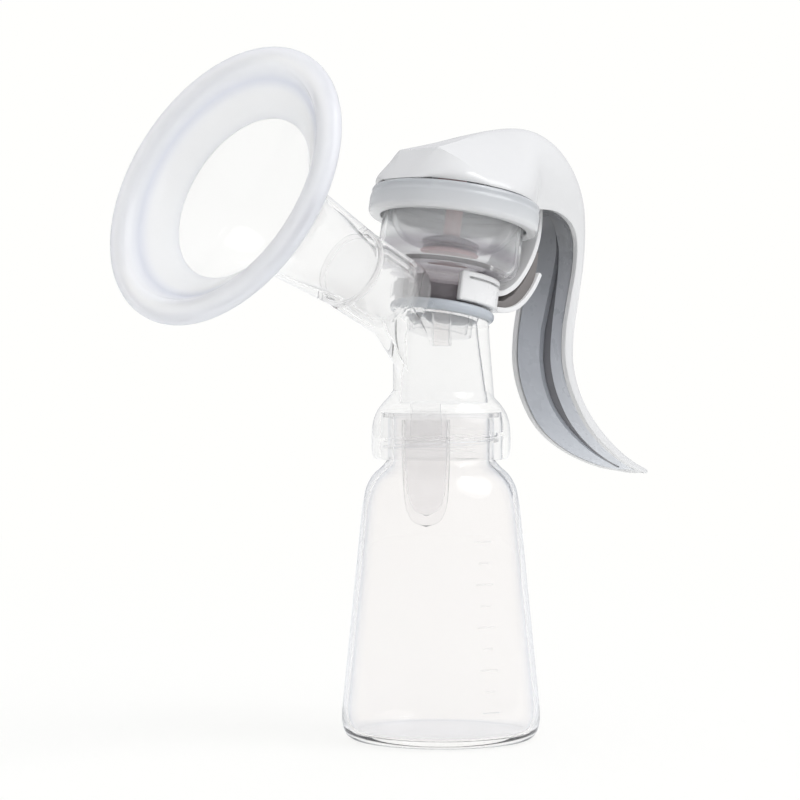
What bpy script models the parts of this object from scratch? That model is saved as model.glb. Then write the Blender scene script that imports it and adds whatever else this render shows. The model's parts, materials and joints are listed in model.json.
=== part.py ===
"""Manual breast pump: feeding bottle, clear pump body, soft shield and swan-neck squeeze handle.

Lengths are in metres and +Z is up. The origin is the middle of the bottle's flat base.
Everything is symmetric about the XZ plane, except the threads and the valve: the shield points
to -X and the handle hangs on the +X side.
"""
import math

import bmesh
import bpy
from mathutils import Matrix, Vector

# ---------------------------------------------------------------- driving dimensions
GAP = 0.0003                      # clearance left between pieces that touch
ROUND = 32                        # sides of a large round piece
SMALL_ROUND = 16                  # sides of a small round piece

BOTTLE_FOOT_R = 0.0270            # flat the bottle stands on
BOTTLE_BASE_R = 0.0299            # widest, just above the base
BOTTLE_TOP_R = 0.0238             # at the top of the tapered wall
BOTTLE_TAPER_TOP = 0.0700
BOTTLE_WALL = 0.0016
NECK_R = 0.0160
NECK_BOTTOM = 0.0842
NECK_TOP = 0.0965

THREAD_PITCH = 0.0040
THREAD_TURNS = 1.1
THREAD_START = 0.0865             # height of the bottle ridge's lower end
THREAD_ROOT_WIDTH = 0.0014
THREAD_CREST_WIDTH = 0.0007

COLLAR_R = 0.0210                 # bell-shaped skirt that screws over the bottle's neck
COLLAR_BORE_R = 0.0182
COLLAR_BOTTOM = 0.0843
CEILING_BOTTOM = 0.0983           # plate between the bottle and the trunk
CEILING_TOP = 0.1007
SEAL_THICKNESS = 0.0012

TRUNK_R = 0.0145                  # upright tube from the collar to the cup
TRUNK_BORE_R = 0.0127
TRUNK_TOP = 0.1320
TRUNK_BORE_TOP = 0.1195
TRUNK_FLARE = 0.25                # the back of the trunk widens by this much at its foot
TRUNK_FLARE_TOP = 0.1220

SPIGOT_X = -0.0065                # milk outlet that carries the valve
SPIGOT_R = 0.0060
SPIGOT_BORE_R = 0.0045
SPIGOT_BOTTOM = 0.0880

SHIELD_ANGLE = math.radians(23.8)     # the shield's axis rises by this much towards -X
SHIELD_AXIS_Z = 0.1238                # where that axis crosses the bottle's axis
HORN_R = 0.0123                       # closed tube of the body that the shield plugs into
HORN_END = 0.0168                     # distances along the shield's axis from the bottle's axis
HORN_MOUTH = 0.0410
HORN_SOCKET_R = 0.0107
HORN_SOCKET_END = 0.0246
SHIELD_SPIGOT_R = 0.0102
SHIELD_FLANGE_R = 0.0400
CUSHION_R = 0.0429
CUSHION_FRONT = 0.0998

CUP_TILT = math.radians(10.9)         # the cup's axis leans back towards the handle
CUP_PIVOT_Z = 0.1280                  # where it crosses the bottle's axis
CUP_R = 0.0215                        # heights of the cup's pieces are measured along its axis
CUP_WALL = 0.0017
HUB_R = 0.0125
SEAT_R = 0.0160
RIM_R = 0.0260
RIM_TOP = 0.0360

STEM_R = 0.0026
STEM_PIN_R = 0.0016
STEM_PIN_HEIGHT = 0.0410
PLATE_R = 0.0090

HINGE_X = 0.0380
HINGE_Z = 0.1660
HINGE_PIN_R = 0.0015
BRACKET_HALF_WIDTH = 0.0085
YOKE_INNER_Y = 0.0088                 # the yoke's cheeks straddle the bracket
YOKE_OUTER_Y = 0.0108

SHELL_WALL = 0.0016
DOME_R = 0.0246                       # lower edge of the dome, on top of the rim ring
DOME_HEIGHT = 0.0371
SECTION_POWER = 0.78                  # below 1 the handle's cross-section is boxier than an ellipse

SHIELD_FRAME = Matrix.Translation((0, 0, SHIELD_AXIS_Z)) @ Matrix.Rotation(
    SHIELD_ANGLE - math.pi / 2, 4, "Y")
CUP_FRAME = Matrix.Translation((0, 0, CUP_PIVOT_Z)) @ Matrix.Rotation(CUP_TILT, 4, "Y")
WORLD = Matrix.Identity(4)


# ---------------------------------------------------------------- scene and materials
def clear_scene():
    for obj in list(bpy.data.objects):
        bpy.data.objects.remove(obj, do_unlink=True)


def make_material(name, colour, roughness, alpha=1.0):
    material = bpy.data.materials.new(name)
    material.use_nodes = True
    shader = material.node_tree.nodes["Principled BSDF"]
    shader.inputs["Base Color"].default_value = (*colour, 1.0)
    shader.inputs["Roughness"].default_value = roughness
    shader.inputs["Metallic"].default_value = 0.0
    shader.inputs["Alpha"].default_value = alpha
    return material


def add_object(name, mesh):
    obj = bpy.data.objects.new(name, mesh)
    COLLECTION.objects.link(obj)
    return obj


# ---------------------------------------------------------------- modelling helpers
def bake(obj):
    """Turn the object's modifiers into plain mesh."""
    bpy.context.view_layer.update()
    evaluated = obj.evaluated_get(bpy.context.evaluated_depsgraph_get())
    mesh = bpy.data.meshes.new_from_object(evaluated)
    obj.modifiers.clear()
    obj.data = mesh
    return obj


def boolean(obj, tool, operation, solver="EXACT"):
    """Join or cut obj with tool, and remove the tool."""
    modifier = obj.modifiers.new(operation.lower(), "BOOLEAN")
    modifier.object = tool
    modifier.operation = operation
    modifier.solver = solver
    bake(obj)
    bpy.data.objects.remove(tool, do_unlink=True)
    return obj


def join(obj, *tools, solver="EXACT"):
    for tool in tools:
        boolean(obj, tool, "UNION", solver)
    return obj


def cut(obj, *tools, solver="EXACT"):
    for tool in tools:
        boolean(obj, tool, "DIFFERENCE", solver)
    return obj


def turned(name, profile, frame=WORLD, sides=ROUND, closed=True):
    """A profile of (radius, height) turned about Z; it runs down its outer side.

    A closed profile is a ring's section; an open one starts and ends on the axis.
    """
    mesh = bpy.data.meshes.new(name)
    points = [(radius, 0, height) for radius, height in profile]
    edges = [(i, i + 1) for i in range(len(points) - 1)]
    if closed:
        edges.append((len(points) - 1, 0))
    mesh.from_pydata(points, edges, [])
    obj = add_object(name, mesh)
    screw = obj.modifiers.new("turn", "SCREW")
    screw.steps = sides
    screw.render_steps = sides
    screw.use_merge_vertices = True
    screw.merge_threshold = 0.00001
    bake(obj)
    obj.matrix_world = frame
    return obj


def rod(name, radius, bottom, top, frame=WORLD, sides=SMALL_ROUND):
    """A plain cylinder on the frame's Z axis between two heights."""
    profile = [(0, top), (radius, top), (radius, bottom), (0, bottom)]
    return turned(name, profile, frame, sides, closed=False)


def cross_rod(name, radius, half_length, centre, sides=SMALL_ROUND):
    """A cylinder that lies along Y."""
    frame = Matrix.Translation(centre) @ Matrix.Rotation(math.pi / 2, 4, "X")
    return rod(name, radius, -half_length, half_length, frame, sides)


def rod_between(name, radius, start, end, sides=SMALL_ROUND):
    start, end = Vector(start), Vector(end)
    turn = (end - start).to_track_quat("Z", "Y").to_matrix().to_4x4()
    return rod(name, radius, 0, (end - start).length, Matrix.Translation(start) @ turn, sides)


def plate(name, outline, low_y, high_y):
    """An outline of (x, z) points extruded along Y."""
    bm = bmesh.new()
    face = bm.faces.new([bm.verts.new((x, low_y, z)) for x, z in outline])
    grown = bmesh.ops.extrude_face_region(bm, geom=[face])
    moved = [item for item in grown["geom"] if isinstance(item, bmesh.types.BMVert)]
    bmesh.ops.translate(bm, vec=(0, high_y - low_y, 0), verts=moved)
    bmesh.ops.recalc_face_normals(bm, faces=bm.faces)
    mesh = bpy.data.meshes.new(name)
    bm.to_mesh(mesh)
    bm.free()
    return add_object(name, mesh)


def block(name, size, centre, frame=WORLD):
    bm = bmesh.new()
    bmesh.ops.create_cube(bm, size=1.0)
    bmesh.ops.scale(bm, vec=size, verts=bm.verts)
    bmesh.ops.translate(bm, vec=centre, verts=bm.verts)
    mesh = bpy.data.meshes.new(name)
    bm.to_mesh(mesh)
    bm.free()
    obj = add_object(name, mesh)
    obj.matrix_world = frame
    return obj


def thicken(line, thickness):
    """The closed outline of a strip whose lower side is the given line, running back above it."""
    upper = []
    for i, (x, z) in enumerate(line):
        before = line[max(i - 1, 0)]
        after = line[min(i + 1, len(line) - 1)]
        dx, dz = after[0] - before[0], after[1] - before[1]
        length = math.hypot(dx, dz)
        upper.append((x - dz / length * thickness, z + dx / length * thickness))
    return list(line) + upper[::-1]


def arc(centre, radius, start, end, count):
    """Points on an arc, its angles in degrees."""
    angles = [math.radians(start + (end - start) * i / (count - 1)) for i in range(count)]
    return [(centre[0] + radius * math.cos(a), centre[1] + radius * math.sin(a)) for a in angles]


def thread_ridge(name, root_r, crest_r, start_z):
    """A right-handed helical ridge with closed ends."""
    half_root, half_crest = THREAD_ROOT_WIDTH / 2, THREAD_CREST_WIDTH / 2
    section = [(crest_r, start_z + half_crest), (crest_r, start_z - half_crest),
               (root_r, start_z - half_root), (root_r, start_z + half_root)]
    if root_r > crest_r:
        section.reverse()
    mesh = bpy.data.meshes.new(name)
    mesh.from_pydata([(r, 0, z) for r, z in section], [(0, 1), (1, 2), (2, 3), (3, 0)], [])
    obj = add_object(name, mesh)
    screw = obj.modifiers.new("helix", "SCREW")
    screw.steps = round(ROUND * THREAD_TURNS)
    screw.render_steps = screw.steps
    screw.angle = 2 * math.pi * THREAD_TURNS
    screw.screw_offset = THREAD_PITCH * THREAD_TURNS
    bake(obj)
    bm = bmesh.new()
    bm.from_mesh(obj.data)
    bmesh.ops.holes_fill(bm, edges=[edge for edge in bm.edges if edge.is_boundary])
    bmesh.ops.recalc_face_normals(bm, faces=bm.faces)
    bm.to_mesh(obj.data)
    bm.free()
    return obj


def loft(name, rings, capped):
    """A skin over rings of points that all have the same count; closed rings get end caps."""
    bm = bmesh.new()
    rows = [[bm.verts.new(point) for point in ring] for ring in rings]
    count = len(rows[0])
    last = count if capped else count - 1
    for lower, upper in zip(rows, rows[1:]):
        for i in range(last):
            j = (i + 1) % count
            bm.faces.new((lower[i], lower[j], upper[j], upper[i]))
    if capped:
        bm.faces.new(rows[0][::-1])
        bm.faces.new(rows[-1])
        bmesh.ops.recalc_face_normals(bm, faces=bm.faces)
    mesh = bpy.data.meshes.new(name)
    bm.to_mesh(mesh)
    bm.free()
    return add_object(name, mesh)


def finish(obj, material, origin=None):
    """Give the piece its material, smooth shading and, if it moves, its origin on the joint."""
    world = obj.matrix_world.copy()
    target = Matrix.Translation(origin) if origin else world
    obj.data.transform(target.inverted() @ world)
    obj.matrix_world = target
    obj.data.materials.clear()
    obj.data.materials.append(material)
    obj.data.shade_smooth()
    obj.data.set_sharp_from_angle(angle=math.radians(35))
    return obj


def on_cup_axis(height):
    return CUP_FRAME @ Vector((0, 0, height))


# ---------------------------------------------------------------- bottle
def make_bottle(material):
    wall = BOTTLE_WALL
    shoulder = [(0.0176, 0.0822), (0.0207, 0.0796), (0.0228, 0.0757)]
    outside = [(NECK_R, NECK_TOP), (NECK_R, NECK_BOTTOM), *shoulder,
               (BOTTLE_TOP_R, BOTTLE_TAPER_TOP), (BOTTLE_BASE_R, 0.0085),
               (BOTTLE_BASE_R, 0.0050), (0.0291, 0.0018), (BOTTLE_FOOT_R, 0), (0, 0)]
    inside = [(0, wall), (BOTTLE_FOOT_R - wall, wall), (0.0281, 0.0045),
              (BOTTLE_BASE_R - wall, 0.0085), (BOTTLE_TOP_R - wall, BOTTLE_TAPER_TOP)]
    inside += [(radius - 0.0015, height - 0.0010) for radius, height in shoulder[::-1]]
    inside += [(NECK_R - 0.0018, NECK_BOTTOM - 0.0012), (NECK_R - 0.0018, NECK_TOP)]
    bottle = turned("bottle", inside + outside, closed=False)
    join(bottle, thread_ridge("bottle_thread", NECK_R - 0.0006, NECK_R + 0.0014, THREAD_START))
    return finish(bottle, material)


def make_bottle_seal(material):
    low = NECK_TOP + GAP
    high = low + SEAL_THICKNESS
    outer, inner = NECK_R + 0.0016, NECK_R - 0.0014
    profile = [(outer, high), (outer, low), (inner, low), (inner, high)]
    return finish(turned("bottle_seal", profile), material)


# ---------------------------------------------------------------- pump body and valve
def flare_back(obj):
    """Widen the trunk's back towards its foot."""
    for vertex in obj.data.vertices:
        drop = max(0.0, TRUNK_FLARE_TOP - vertex.co.z) / (TRUNK_FLARE_TOP - CEILING_TOP)
        if vertex.co.x > 0:
            vertex.co.x *= 1 + TRUNK_FLARE * drop
    return obj


def trunk_solid(name, radius, bottom, top):
    profile = [(0, top), (radius, top), (radius, TRUNK_FLARE_TOP), (radius, bottom), (0, bottom)]
    if top < TRUNK_FLARE_TOP:
        profile.pop(2)
    return flare_back(turned(name, profile, closed=False))


def make_pump_body(material):
    """Collar, trunk and horn in one piece; the Manifold solver copes with its tangent tubes."""
    solver = "MANIFOLD"
    body = trunk_solid("pump_body", TRUNK_R, CEILING_BOTTOM, TRUNK_TOP)
    bell = [(0, 0.1056), (0.0143, 0.1054), (0.0158, 0.1031), (0.0178, 0.1010),
            (0.0196, 0.0985), (0.0207, 0.0952), (COLLAR_R, 0.0915), (COLLAR_R, 0.0868),
            (0.0204, COLLAR_BOTTOM), (0, COLLAR_BOTTOM)]
    corner = 0.0048
    horn_round = arc((HORN_R - corner, HORN_END + corner), corner, 0, -90, 5)
    horn = [(0, HORN_MOUTH), (HORN_R, HORN_MOUTH), *horn_round, (0, HORN_END)]
    join(body,
         turned("bell", bell, closed=False),
         turned("horn", horn, SHIELD_FRAME, closed=False),
         rod_between("elbow", 0.0070, (-0.0215, 0, 0.1295), (-0.0080, 0, 0.1120)),
         solver=solver)
    bore = [(0, CEILING_BOTTOM), (COLLAR_BORE_R - 0.0004, CEILING_BOTTOM),
            (COLLAR_BORE_R, 0.0950), (COLLAR_BORE_R, COLLAR_BOTTOM - 0.005),
            (0, COLLAR_BOTTOM - 0.005)]
    cut(body,
        rod("seat_clearance", SEAT_R + 2 * GAP, -0.0012, 0.0140, CUP_FRAME, ROUND),
        turned("collar_bore", bore, closed=False),
        trunk_solid("trunk_bore", TRUNK_BORE_R, CEILING_TOP, TRUNK_BORE_TOP),
        rod("cup_socket", 0.0102, -0.0100, 0.0050, CUP_FRAME, ROUND),
        rod("horn_socket", HORN_SOCKET_R, HORN_SOCKET_END, 0.0500, SHIELD_FRAME, ROUND),
        rod("horn_chamber", 0.0075, 0.0202, 0.0300, SHIELD_FRAME),
        rod_between("passage", 0.0050, (-0.0215, 0, 0.1315), (-0.0070, 0, 0.1120)),
        solver=solver)
    spigot = rod("spigot", SPIGOT_R, SPIGOT_BOTTOM, CEILING_BOTTOM + 0.0010)
    outlet = rod("outlet", SPIGOT_BORE_R, SPIGOT_BOTTOM - 0.001, CEILING_TOP + 0.0010)
    for piece in (spigot, outlet):
        piece.matrix_world = Matrix.Translation((SPIGOT_X, 0, 0))
    join(body, spigot, solver=solver)
    cut(body, outlet, solver=solver)
    half_lead = THREAD_PITCH / 2
    ridge = thread_ridge("collar_thread", COLLAR_BORE_R + 0.0006, COLLAR_BORE_R - 0.0015,
                         THREAD_START + half_lead)
    join(body, ridge, solver=solver)
    return finish(body, material)


def make_valve(material):
    """A duckbill: a round sleeve over the spigot that flattens to a rounded slit."""
    top, sleeve_end, tip = 0.0960, 0.0840, 0.0640
    outer_r, inner_r = 0.0072, SPIGOT_R + GAP
    outside = [(outer_r, top), (outer_r, sleeve_end), (0.0069, 0.0780), (0.0066, 0.0725),
               (0.0058, 0.0682), (0.0040, 0.0652), (0, tip)]
    inside = [(0, 0.0672), (0.0040, 0.0690), (0.0054, 0.0730), (0.0059, 0.0780),
              (inner_r, sleeve_end), (inner_r, top)]
    valve = turned("duckbill_valve", inside + outside, sides=24, closed=False)
    for vertex in valve.data.vertices:
        flat = min(1.0, max(0.0, sleeve_end - vertex.co.z) / (sleeve_end - 0.0700))
        vertex.co.x *= 1 - 0.72 * flat
    cut(valve, block("slit", (0.0004, 0.0070, 0.0060), (0, 0, tip + 0.0028)))
    turn = Matrix.Rotation(math.radians(40), 4, "Z")
    valve.matrix_world = Matrix.Translation((SPIGOT_X, 0, 0)) @ turn
    return finish(valve, material, (SPIGOT_X, 0, top))


# ---------------------------------------------------------------- shield and cushion
def make_shield(material):
    """A funnel with a reduced end that plugs into the horn."""
    outside = [(SHIELD_FLANGE_R, 0.0974), (SHIELD_FLANGE_R, 0.0958), (0.0386, 0.0945),
               (0.0332, 0.0906), (0.0276, 0.0860), (0.0225, 0.0811), (0.0184, 0.0761),
               (0.0157, 0.0716), (0.0142, 0.0674), (0.0133, 0.0560), (0.0123, HORN_MOUTH + 0.0018),
               (SHIELD_SPIGOT_R, HORN_MOUTH + 0.0018), (SHIELD_SPIGOT_R, 0.0252)]
    inside = [(0.0086, 0.0252), (0.0090, 0.0430), (0.0116, 0.0565), (0.0126, 0.0676),
              (0.0142, 0.0728), (0.0170, 0.0777), (0.0212, 0.0829), (0.0264, 0.0879),
              (0.0324, 0.0926), (0.0384, 0.0962), (0.0386, 0.0974)]
    return finish(turned("breast_shield", outside + inside, SHIELD_FRAME), material)


def make_shield_seal(material):
    low, high = HORN_MOUTH + GAP, HORN_MOUTH + 0.0015
    outer, inner = HORN_R - 0.0001, SHIELD_SPIGOT_R + GAP
    profile = [(outer, high), (outer, low), (inner, low), (inner, high)]
    return finish(turned("shield_seal", profile, SHIELD_FRAME), material)


def make_cushion(material):
    """A rolled lip over the shield's rim, with an apron that lines the start of the funnel."""
    lip = [(0.0385, CUSHION_FRONT), (0.0408, 0.0995), (0.0423, 0.0986), (CUSHION_R, 0.0972),
           (0.0427, 0.0955), (0.0417, 0.0945), (SHIELD_FLANGE_R + 0.0004, 0.0945)]
    back = [(SHIELD_FLANGE_R + 0.0004, 0.0978), (0.0384, 0.0978), (0.0322, 0.0931),
            (0.0266, 0.0886), (0.0254, 0.0875)]
    front = [(0.0248, 0.0884), (0.0300, 0.0934), (0.0340, 0.0962), (0.0352, 0.0970),
             (0.0364, 0.0988)]
    return finish(turned("massage_cushion", lip + back + front, SHIELD_FRAME), material)


# ---------------------------------------------------------------- cup, diaphragm and stem
def make_seat_gasket(material):
    profile = [(0.0150, 0.0023), (SEAT_R, 0.0015), (SEAT_R, 0.0000), (0.0152, -0.0009),
               (0.0103, -0.0009), (0.0103, 0.0023)]
    return finish(turned("seat_gasket", profile, CUP_FRAME), material)


def make_cup(material):
    corner = 0.0045
    rounding = arc((CUP_R - corner, 0.0130 + corner), corner, 0, -90, 4)
    inner_corner = arc((CUP_R - CUP_WALL - 0.003, 0.0178), 0.0030, -90, 0, 3)
    outside = [(0.0241, 0.0320), (0.0241, 0.0299), (CUP_R, 0.0290), *rounding,
               (HUB_R, 0.0126), (HUB_R, 0.0026), (0.0099, 0.0026), (0.0099, -0.0060)]
    inside = [(0.0083, -0.0060), (0.0083, 0.0148), *inner_corner, (CUP_R - CUP_WALL, 0.0320)]
    return finish(turned("cylinder_cup", outside + inside, CUP_FRAME), material)


def make_rim_ring(material):
    """A clamp ring of hooked section that holds the diaphragm on the cup's flange."""
    profile = [(0.0252, RIM_TOP), (RIM_R - 0.0003, 0.0352), (RIM_R - 0.0003, 0.0338),
               (RIM_R, 0.0330), (RIM_R, 0.0288), (0.0253, 0.0278), (0.0222, 0.0278),
               (0.0222, 0.0286), (0.0245, 0.0295), (0.0245, 0.0346), (0.0205, 0.0346),
               (0.0205, RIM_TOP)]
    return finish(turned("rim_ring", profile, CUP_FRAME), material)


def make_diaphragm(material):
    upper = [(0.0241, 0.0343), (0.0202, 0.0343), (0.0186, 0.0332), (0.0178, 0.0290),
             (0.0170, 0.0262), (0.0152, 0.0236), (0.0122, 0.0216), (0.0095, 0.0209),
             (0.0032, 0.0209)]
    lower = [(0.0032, 0.0195), (0.0097, 0.0195), (0.0128, 0.0203), (0.0162, 0.0225),
             (0.0182, 0.0254), (0.0191, 0.0286), (0.0195, 0.0323), (0.0241, 0.0323)]
    return finish(turned("diaphragm", lower[::-1] + upper[::-1], CUP_FRAME), material)


def make_stem(material):
    """A foot disc under the diaphragm, a rod and an eye for the cross pin."""
    foot = [(0, 0.0400), (STEM_R, 0.0400), (STEM_R, 0.0191), (PLATE_R - 0.0006, 0.0191),
            (PLATE_R, 0.0185), (PLATE_R - 0.0006, 0.0176), (0, 0.0176)]
    stem = turned("pull_stem", foot, CUP_FRAME, 24, closed=False)
    eye = on_cup_axis(STEM_PIN_HEIGHT)
    join(stem, cross_rod("eye", 0.0034, 0.0055, eye))
    cut(stem, cross_rod("eye_bore", STEM_PIN_R + 0.0002, 0.0080, eye))
    return finish(stem, material, on_cup_axis(0.0176))


def make_clamp_disc(material):
    inner = STEM_R + GAP
    profile = [(0.0068, 0.0226), (PLATE_R - 0.0004, 0.0219), (PLATE_R - 0.0004, 0.0212),
               (inner, 0.0212), (inner, 0.0236), (0.0042, 0.0236)]
    return finish(turned("clamp_disc", profile, CUP_FRAME, 24), material, on_cup_axis(0.0212))


def make_stem_pin(material):
    centre = on_cup_axis(STEM_PIN_HEIGHT)
    pin = cross_rod("stem_pin", STEM_PIN_R, YOKE_OUTER_Y + 0.0004, centre, 16)
    return finish(pin, material, centre)


# ---------------------------------------------------------------- hinge bracket
def make_bracket(material):
    """A snap-on collar round the cup's hub, with two curved plates that carry the hinge."""
    inner, outer, low, high = HUB_R + 0.0004, 0.0165, 0.0029, 0.0118
    ring = [(outer - 0.0006, high), (outer, high - 0.0006), (outer, low + 0.0006),
            (outer - 0.0006, low), (inner, low), (inner, high)]
    bracket = turned("hinge_bracket", ring, CUP_FRAME)
    mouth = plate("mouth", [(0, 0), (-0.06, 0.108), (-0.12, 0.108), (-0.12, -0.108),
                            (-0.06, -0.108)], 0, 0.020)
    mouth.matrix_world = CUP_FRAME @ Matrix.Rotation(math.pi / 2, 4, "X")
    cut(bracket, mouth)
    half = BRACKET_HALF_WIDTH
    thickness = 0.0022
    upper_line = [(0.0158, 0.1334), (0.0200, 0.1338), (0.0250, 0.1361), (0.0295, 0.1403),
                  (0.0334, 0.1455), (0.0360, 0.1510), (0.0370, 0.1570), (0.0371, 0.1650)]
    lower_line = [(0.0158, 0.1288), (0.0205, 0.1284), (0.0255, 0.1294), (0.0300, 0.1322),
                  (0.0340, 0.1362), (0.0368, 0.1406)]
    web = [(0.0155, 0.1300), (0.0205, 0.1296), (0.0255, 0.1306), (0.0300, 0.1334),
           (0.0335, 0.1372), (0.0352, 0.1420), (0.0366, 0.1490), (0.0345, 0.1490),
           (0.0325, 0.1450), (0.0290, 0.1398), (0.0245, 0.1358), (0.0155, 0.1345)]
    hinge = (HINGE_X, 0, HINGE_Z)
    join(bracket,
         plate("upper_plate", thicken(upper_line, thickness), -half, half),
         plate("lower_plate", thicken(lower_line, thickness), -half, half),
         plate("web", web, -0.0013, 0.0013),
         cross_rod("knuckle", 0.0038, half - GAP, hinge))
    groove = [(outer + 0.001, 0.0104), (outer + 0.001, 0.0097), (outer - 0.0007, 0.0097),
              (outer - 0.0007, 0.0104)]
    slot = turned("slot", groove, CUP_FRAME)
    keep = block("slot_length", (0.0140, 0.0200, 0.0060), (0.0015, -0.0200, 0.0100), CUP_FRAME)
    boolean(slot, keep, "INTERSECT")
    hub_clearance = rod("hub_clearance", inner, 0.0000, 0.0126, CUP_FRAME, ROUND)
    cut(bracket, slot, hub_clearance, cross_rod("pin_bore", HINGE_PIN_R + 0.0002, 0.012, hinge))
    return finish(bracket, material)


def make_hinge_pin(material):
    centre = (HINGE_X, 0, HINGE_Z)
    pin = cross_rod("hinge_pin", HINGE_PIN_R, YOKE_OUTER_Y + 0.0004, centre, 16)
    return finish(pin, material)


# ---------------------------------------------------------------- squeeze handle
# Stations from the front of the dome to the tip: the back line (x, z), the lip's x and z,
# and the half width at the lip. Along the dome the lip is an arc of the dome's round edge.
DOME_STATIONS = [(24, None, None), (47, -0.0142, 0.1726), (66, -0.0096, 0.1770),
                 (86, 0.0015, 0.1797), (106, 0.0130, 0.1826), (124, 0.0245, 0.1852),
                 (139, 0.0350, 0.1860)]
GRIP_STATIONS = [((0.0450, 0.1832), (0.0350, 0.1600), 0.0150),
                 ((0.0530, 0.1765), (0.0425, 0.1580), 0.0136),
                 ((0.0578, 0.1680), (0.0475, 0.1545), 0.0124),
                 ((0.0592, 0.1580), (0.0495, 0.1495), 0.0117),
                 ((0.0586, 0.1450), (0.0492, 0.1420), 0.0113),
                 ((0.0565, 0.1330), (0.0470, 0.1325), 0.0110),
                 ((0.0543, 0.1220), (0.0448, 0.1220), 0.0110),
                 ((0.0538, 0.1130), (0.0450, 0.1120), 0.0112),
                 ((0.0568, 0.1035), (0.0490, 0.1020), 0.0116),
                 ((0.0635, 0.0955), (0.0565, 0.0925), 0.0118),
                 ((0.0735, 0.0880), (0.0680, 0.0850), 0.0108),
                 ((0.0850, 0.0825), (0.0812, 0.0798), 0.0078),
                 ((0.0955, 0.0790), (0.0940, 0.0773), 0.0036)]


def handle_stations():
    """(back point, lip point, half width) for each station, as 2D points in the XZ plane."""
    stations = []
    for angle, back_x, back_z in DOME_STATIONS:
        turn = math.radians(angle)
        lip = CUP_FRAME @ Vector((-DOME_R * math.cos(turn), 0, DOME_HEIGHT))
        if back_x is None:
            front = CUP_FRAME @ Vector((-DOME_R, 0, DOME_HEIGHT))
            back_x, back_z = front.x, front.z
        stations.append(((back_x, back_z), (lip.x, lip.z), DOME_R * math.sin(turn)))
    return stations + GRIP_STATIONS


def half_arch(back, lip, width, count):
    """Points from the back line round to the lip, on one side."""
    points = []
    for i in range(count + 1):
        angle = math.pi / 2 * i / count
        across = math.sin(angle) ** SECTION_POWER if i else 0.0
        down = 1 - (math.cos(angle) ** SECTION_POWER if i < count else 0.0)
        points.append((back[0] + (lip[0] - back[0]) * down, width * across,
                       back[1] + (lip[1] - back[1]) * down))
    return points


def full_arch(back, lip, width, count):
    side = half_arch(back, lip, width, count)
    return [(x, -y, z) for x, y, z in side[:0:-1]] + side


def make_shell(material):
    rings = [full_arch(back, lip, width, 6) for back, lip, width in handle_stations()]
    shell = loft("handle_shell", rings, capped=False)
    solidify = shell.modifiers.new("wall", "SOLIDIFY")
    solidify.thickness = SHELL_WALL
    solidify.offset = 1.0
    solidify.use_even_offset = True
    bake(shell)
    return finish(shell, material, (HINGE_X, 0, HINGE_Z))


def inset(back, lip, depth):
    """Move the back point of a section towards its lip."""
    dx, dz = lip[0] - back[0], lip[1] - back[1]
    share = depth / math.hypot(dx, dz)
    return (back[0] + dx * share, back[1] + dz * share)


def make_liner(material):
    """The soft grip that fills the handle's channel."""
    margin = SHELL_WALL + 0.0006
    rings = []
    for back, lip, width in GRIP_STATIONS[3:-1]:
        floor = inset(back, lip, margin)
        edge = inset(lip, back, 0.0004)
        arch = full_arch(floor, edge, width - margin, 5)
        crown = inset(lip, back, -0.0006)
        crown_row = [(crown[0], share * (width - margin), crown[1]) for share in (0.6, 0.0, -0.6)]
        rings.append(arch + crown_row)
    liner = loft("handle_liner", rings, capped=True)
    return finish(liner, material, (HINGE_X, 0, HINGE_Z))


def make_yoke(material):
    """Two cheeks and a bridge inside the dome: they carry the hinge pin and lift the stem pin."""
    cheek = [(0.0020, 0.1656), (0.0120, 0.1652), (0.0280, 0.1632), (0.0340, 0.1628),
             (0.0405, 0.1636), (0.0412, 0.1680), (0.0390, 0.1712), (0.0320, 0.1742),
             (0.0060, 0.1742), (0.0020, 0.1722)]
    yoke = plate("lever_yoke", cheek, YOKE_INNER_Y, YOKE_OUTER_Y)
    other = plate("other_cheek", cheek, -YOKE_OUTER_Y, -YOKE_INNER_Y)
    bridge = block("bridge", (0.0240, 2 * YOKE_INNER_Y + 0.0010, 0.0018), (0.0190, 0, 0.1733))
    join(yoke, other, bridge)
    hinge = (HINGE_X, 0, HINGE_Z)
    slot = block("pin_slot", (0.0050, 0.0300, 0.0040), on_cup_axis(STEM_PIN_HEIGHT))
    cut(yoke, slot, cross_rod("pin_bore", HINGE_PIN_R + 0.0002, 0.015, hinge))
    return finish(yoke, material, hinge)


# ---------------------------------------------------------------- assembly
def main():
    clear = make_material("clear_plastic", (0.90, 0.91, 0.92), 0.08, 0.30)
    frosted = make_material("frosted_plastic", (0.80, 0.83, 0.85), 0.25, 0.60)
    silicone = make_material("soft_silicone", (0.86, 0.89, 0.95), 0.35, 0.60)
    gasket = make_material("seal_silicone", (0.62, 0.69, 0.76), 0.40, 0.90)
    white = make_material("white_plastic", (0.88, 0.88, 0.87), 0.25)
    grey = make_material("grey_grip", (0.36, 0.37, 0.40), 0.45)

    make_bottle(clear)
    make_bottle_seal(gasket)
    make_pump_body(clear)
    make_valve(silicone)
    make_shield(clear)
    make_shield_seal(silicone)
    make_cushion(silicone)
    make_seat_gasket(gasket)
    make_cup(frosted)
    make_rim_ring(frosted)
    make_diaphragm(silicone)
    make_stem(white)
    make_clamp_disc(white)
    make_stem_pin(white)
    make_bracket(white)
    make_hinge_pin(white)
    make_yoke(grey)
    make_shell(white)
    make_liner(grey)


clear_scene()
COLLECTION = bpy.data.collections.new("breast_pump")
bpy.context.scene.collection.children.link(COLLECTION)
main()
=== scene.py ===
"""Studio scene of a manual breast pump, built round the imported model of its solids."""
import json
import math

import bmesh
import bpy
from mathutils import Matrix, Vector

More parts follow.
